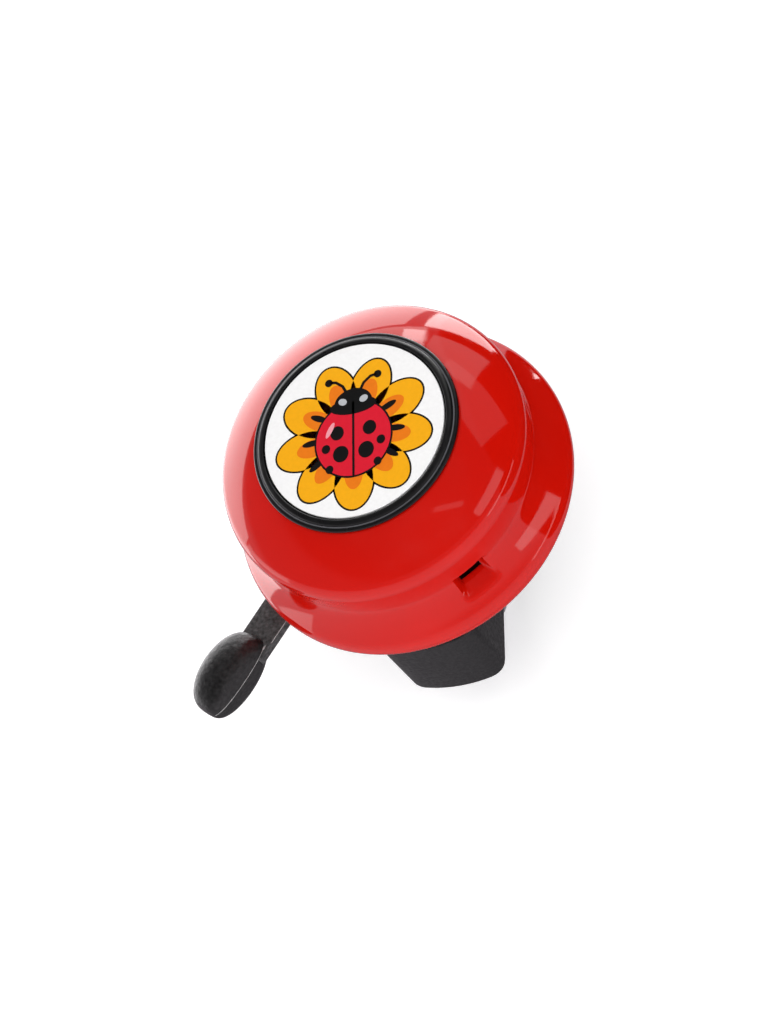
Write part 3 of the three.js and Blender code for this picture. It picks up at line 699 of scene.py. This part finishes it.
def make_base():
    """Disc, collar, saddle and pin bosses as one moulding, less the bar's bore and the holes."""
    low, high = BASE_Z
    saddle = bevelled(prism_mesh("saddle", saddle_outline(), SADDLE_BOTTOM_Z, high - 0.4), 0.7, 4, 60)
    edge = 0.3
    disc_profile = [(0, low), (BASE_R - edge, low)]
    disc_profile += bend((BASE_R - edge, low), (BASE_R, low), (BASE_R, low + edge), 4)
    disc_profile += bend((BASE_R, high - edge), (BASE_R, high), (BASE_R - edge, high), 4)
    disc_profile += [(0, high)]
    disc = turned_mesh("disc", disc_profile, 160)
    inside = low + 0.1            # what hangs under the disc starts a little way into it
    half_x, half_y = COLLAR["half_x"], COLLAR["half_y"]
    collar = box_mesh((-half_x, half_x), (-half_y, half_y), (COLLAR["bottom"], inside))
    solid = combined(disc, [
        saddle,
        bevelled(collar, 0.5, 3),
        rod_mesh(BOSS_R, 12.2, inside, LEVER_PIVOT),
        rod_mesh(BOSS_R, 12.7, inside, TRANSFER_AXIS),
    ], "UNION")
    bore = turned_mesh("bore", [(0, -20), (BAR_R, -20), (BAR_R, 20), (0, 20)], 128)
    bore.transform(Matrix.Rotation(math.radians(90), 4, "Y"))
    past_top = 20
    cuts = [
        bore,
        rod_mesh(4.8, 0, 14.1),                           # well for the post's head
        rod_mesh(2.25, 10, past_top),                     # the post's own hole
        rod_mesh(1.75, 13.2, past_top, LEVER_PIVOT),
        rod_mesh(1.5, 13.7, past_top, TRANSFER_AXIS),
    ]
    for y in (-SCREW_Y, SCREW_Y):
        cuts.append(rod_mesh(SCREW_HOLE_R, 0, 10.7, (0, y)))
        pocket_y = (y - NUT_POCKET["half_y"], y + NUT_POCKET["half_y"])
        cuts.append(box_mesh(NUT_POCKET["x"], pocket_y, NUT_POCKET["z"]))
    solid = combined(solid, cuts, "DIFFERENCE")
    solid = bevelled(solid, 0.12, 2, 50)
    stands_for(add_object("base_moulding", solid, PLASTIC, sharp=40), "root", "black_plastic", "base_plate")


def make_base_pegs():
    """The lever's two stops and the spring's peg, moulded on the base disc."""
    low, high = BASE_Z[1] - 0.2, LEVER_Z[1]
    chamfer = 0.2
    rest_angle = math.degrees(math.atan2(LEVER_DIR.y, LEVER_DIR.x))
    pressed_angle = rest_angle - LEVER_THROW
    offset = ARM_WIDTH / 2 + STOP_GAP + STOP_PEG_R
    rest = LEVER_PIVOT + polar(7, rest_angle) + polar(offset, rest_angle + 90)
    pressed = LEVER_PIVOT + polar(4.5, pressed_angle) + polar(offset, pressed_angle - 90)
    spring = LEVER_PIVOT + polar(5.6, 300)
    pegs = (
        ("stop_peg_rest", rest, STOP_PEG_R, high),
        ("stop_peg_pressed", pressed, STOP_PEG_R, high),
        ("spring_peg", spring, 0.8, 21.0),
    )
    for name, centre, radius, top in pegs:
        profile = [(0, low), (radius, low), (radius, top - chamfer), (radius - chamfer, top), (0, top)]
        mesh = turned_mesh(name, profile, 32, centre)
        stands_for(add_object(name, mesh, PLASTIC), "root", "black_plastic")


def make_strap():
    """Bent sheet: a half circle under the bar and a flat ear on each side."""
    thickness, half_x = 1.0, 4.5
    inner, outer = BAR_R, BAR_R + thickness
    ear_top, ear_bottom, end_y = -0.3, -1.3, 21.5
    inner_turn = math.degrees(math.asin(ear_top / inner))
    outer_turn = math.degrees(math.asin(ear_bottom / outer))
    section = [(end_y, ear_bottom), (end_y, ear_top)]
    section += arc((0, 0), inner, inner_turn, -180 - inner_turn, 64)
    section += [(-end_y, ear_top), (-end_y, ear_bottom)]
    section += arc((0, 0), outer, -180 - outer_turn, outer_turn, 64)
    mesh = prism_mesh("strap", section, -half_x, half_x)
    section_upright = Matrix.Rotation(math.radians(90), 4, "Z") @ Matrix.Rotation(math.radians(90), 4, "X")
    mesh.transform(section_upright)
    holes = [rod_mesh(SCREW_HOLE_R, -3, 1, (0, y)) for y in (-SCREW_Y, SCREW_Y)]
    mesh = combined(mesh, holes, "DIFFERENCE")
    mesh = bevelled(mesh, 0.18, 2, 50)
    stands_for(add_object("steel_strap", mesh, ZINC, sharp=40), "root", "zinc_steel", "clamp_strap")


def make_screws():
    """Pan heads down, with a cross slot; the thread is rings, not a helix."""
    head_r, thread_r, core_r = SCREW["head_r"], SCREW["thread_r"], SCREW["core_r"]
    head_bottom, head_top = SCREW["head_z"]
    long, short, slot_z = 1.7, 0.35, (-4.8, -2.5)
    for side, y in (("front", -SCREW_Y), ("rear", SCREW_Y)):
        profile = [(0, head_bottom), (1.4, head_bottom)]
        profile += bend((1.4, head_bottom), (head_r, -3.75), (head_r, -2.4), 10)
        profile += [(head_r, -1.75), (3.15, head_top), (thread_r, head_top)]
        z = -1.3
        while z < 9.6:
            profile += [(thread_r, z), (core_r, z + 0.3)]
            z += SCREW["pitch"]
        profile += [(1.4, 10.1), (1.2, SCREW["end"]), (0, SCREW["end"])]
        mesh = turned_mesh("screw", profile, 48, (0, y))
        slots = [box_mesh((-long, long), (y - short, y + short), slot_z),
                 box_mesh((-short, short), (y - long, y + long), slot_z)]
        mesh = combined(mesh, slots, "DIFFERENCE")
        name = f"pan_screw_{side}"
        stands_for(add_object(name, mesh, ZINC, sharp=30), "root", "zinc_steel", f"clamp_screw_{side}")


# ---------------------------------------------------------------- pieces kept from the CAD

KEPT = {
    "gong_nut": ZINC, "gong_washer": ZINC, "damping_washer": RUBBER, "spacer_sleeve": ZINC,
    "centre_post": ZINC, "rotor": NYLON, "rotor_thrust_collar": NYLON,
    "striker_pin_a": ZINC, "striker_pin_b": ZINC, "striker_washer_a": ZINC, "striker_washer_b": ZINC,
    "transfer_gear": NYLON, "transfer_pin": ZINC, "transfer_clip": SPRING,
    "lever_pin": ZINC, "lever_clip": SPRING, "return_spring": SPRING,
    "clamp_nut_front": ZINC, "clamp_nut_rear": ZINC,
}


def finish_kept_nodes():
    """The inner works keep their CAD meshes and get a finish."""
    for name, material in KEPT.items():
        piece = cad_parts[name]
        piece.data.materials.clear()
        piece.data.materials.append(material)


# ---------------------------------------------------------------- camera, light and floor

VIEW_AZIMUTH = 36.2
VIEW_ELEVATION = 56.33
VIEW_ROLL = 41.9
VIEW_DISTANCE = 0.450
TARGET = Vector((0, 0, TOP_Z * MM))
TARGET_LEFT = 4.32 * MM           # how far the target lies left of the view's centre
TARGET_UP = 12.0 * MM             # and how far above it
LENS = 106.1
LIGHT_DISTANCE = 0.9
LIGHT_AIM = Vector((0, 0, 0.035))


def direction(azimuth, elevation):
    """Unit vector from the bell; azimuth 0 is -Y and 90 is +X, in degrees."""
    a, e = math.radians(azimuth), math.radians(elevation)
    return Vector((math.sin(a) * math.cos(e), -math.cos(a) * math.cos(e), math.sin(e)))


def add_camera():
    """The photograph's viewpoint: rolled, and moved sideways in place of a lens shift."""
    back = direction(VIEW_AZIMUTH, VIEW_ELEVATION)
    level_right = polar(1, VIEW_AZIMUTH).to_3d()
    level_up = back.cross(level_right)
    roll = math.radians(VIEW_ROLL)
    right = level_right * math.cos(roll) - level_up * math.sin(roll)
    up = level_up * math.cos(roll) + level_right * math.sin(roll)
    place = TARGET + right * TARGET_LEFT - up * TARGET_UP + back * VIEW_DISTANCE
    camera = bpy.data.objects.new("camera", bpy.data.cameras.new("camera"))
    camera.data.lens = LENS
    camera.data.clip_start = 0.01
    rotation = Matrix((right, up, back)).transposed().to_4x4()
    camera.matrix_world = Matrix.Translation(place) @ rotation
    bpy.context.scene.collection.objects.link(camera)
    bpy.context.scene.camera = camera


def softbox(name, azimuth, elevation, width, height, radiance, turn=0.0, seen=True):
    """A rectangular light aimed at the bell, its width and height given as the angles that they
    fill seen from there. turn tilts it in its own plane; seen says whether gloss reflects it."""
    light = bpy.data.lights.new(name, "AREA")
    light.shape = "RECTANGLE"
    light.size = 2 * LIGHT_DISTANCE * math.tan(math.radians(width / 2))
    light.size_y = 2 * LIGHT_DISTANCE * math.tan(math.radians(height / 2))
    light.energy = radiance * math.pi * light.size * light.size_y
    lamp = bpy.data.objects.new(name, light)
    away = direction(azimuth, elevation)
    lamp.location = LIGHT_AIM + away * LIGHT_DISTANCE
    tilt = Quaternion((0, 0, 1), math.radians(turn))
    lamp.rotation_euler = (away.to_track_quat("Z", "Y") @ tilt).to_euler()
    lamp.visible_glossy = seen
    bpy.context.scene.collection.objects.link(lamp)


def add_lights():
    """Two fills that gloss doesn't show, then the panels and windows that it does."""
    softbox("overhead_fill", 20, 75, 53, 53, 2.3, seen=False)
    softbox("front_fill", 20, 35, 45, 45, 1.4, seen=False)
    softbox("backdrop", 227, -12, 86, 50, 2.5)
    softbox("backdrop_top", 203, 20, 48, 14, 2.0)
    softbox("backdrop_side", 283, -2, 26, 22, 1.2)
    softbox("bright_strip", 167, -2, 26, 26, 6.5)
    softbox("lamp_edge", 182, 24, 7, 18, 5)
    softbox("dim_panel", 142, 45, 40, 22, 0.5)
    softbox("dim_panel_side", 163, 30, 24, 24, 1.1)
    softbox("window", 76, 42, 24, 8, 1.3, turn=-12)
    softbox("high_window", 56, 63, 3, 16, 0.6, turn=30)
    softbox("low_window", 77, 6, 34, 7, 1.8)


# Brightness of the surroundings from straight down to straight up: (share of the way up, level)
SURROUNDINGS = (
    (0.05, 0.25), (0.11, 0.5), (0.2, 0.7), (0.45, 0.75),
    (0.6, 0.65), (0.64, 0.25), (0.8, 0.2), (0.84, 0.08),
)
TINT = (1.0, 0.93, 1.0)
DARK_SIDE = (0.82, 0.57, 0.0)     # the way to the dark side's middle
DARK_EDGE = 0.62                  # cosine of the angle from there to the dark side's edge


def add_world():
    """A grey room, lighter near the floor, with one dark side."""
    world = bpy.data.worlds.new("studio")
    world.use_nodes = True
    tree = world.node_tree
    coords = tree.nodes.new("ShaderNodeTexCoord")
    split = tree.nodes.new("ShaderNodeSeparateXYZ")
    height = tree.nodes.new("ShaderNodeMapRange")
    height.inputs["From Min"].default_value = -1
    ramp = tree.nodes.new("ShaderNodeValToRGB")
    stops = ramp.color_ramp.elements
    while len(stops) < len(SURROUNDINGS):
        stops.new(0.5)
    for stop, (place, level) in zip(stops, SURROUNDINGS):
        stop.position = place
        stop.color = (*(level * share for share in TINT), 1)
    facing = tree.nodes.new("ShaderNodeVectorMath")
    facing.operation = "DOT_PRODUCT"
    facing.inputs[1].default_value = DARK_SIDE
    lit = tree.nodes.new("ShaderNodeMath")
    lit.operation = "LESS_THAN"
    lit.inputs[1].default_value = DARK_EDGE
    tree.links.new(coords.outputs["Generated"], split.inputs["Vector"])
    tree.links.new(split.outputs["Z"], height.inputs["Value"])
    tree.links.new(height.outputs["Result"], ramp.inputs["Fac"])
    tree.links.new(coords.outputs["Generated"], facing.inputs[0])
    tree.links.new(facing.outputs["Value"], lit.inputs[0])
    background = tree.nodes["Background"]
    tree.links.new(ramp.outputs["Color"], background.inputs["Color"])
    tree.links.new(lit.outputs["Value"], background.inputs["Strength"])
    bpy.context.scene.world = world


def add_floor():
    """A slab just under the bell; gloss doesn't reflect it."""
    gap, side, thickness = 0.05, 3000, 1
    level = (cad_box[0].z / MM) - gap
    corners = [(-side, -side), (side, -side), (side, side), (-side, side)]
    mesh = prism_mesh("floor", corners, level - thickness, level)
    floor = add_object("floor", mesh, pale_floor())
    floor.visible_glossy = False


add_camera()
make_gong()
make_bezel()
make_badge_disc()
make_badge_print()
make_knob()
make_parting_ridge()
make_arm()
make_lever_hub()
make_base()
make_base_pegs()
make_strap()
make_screws()
finish_kept_nodes()
add_lights()
add_world()
add_floor()
bpy.context.scene.view_settings.view_transform = "Standard"
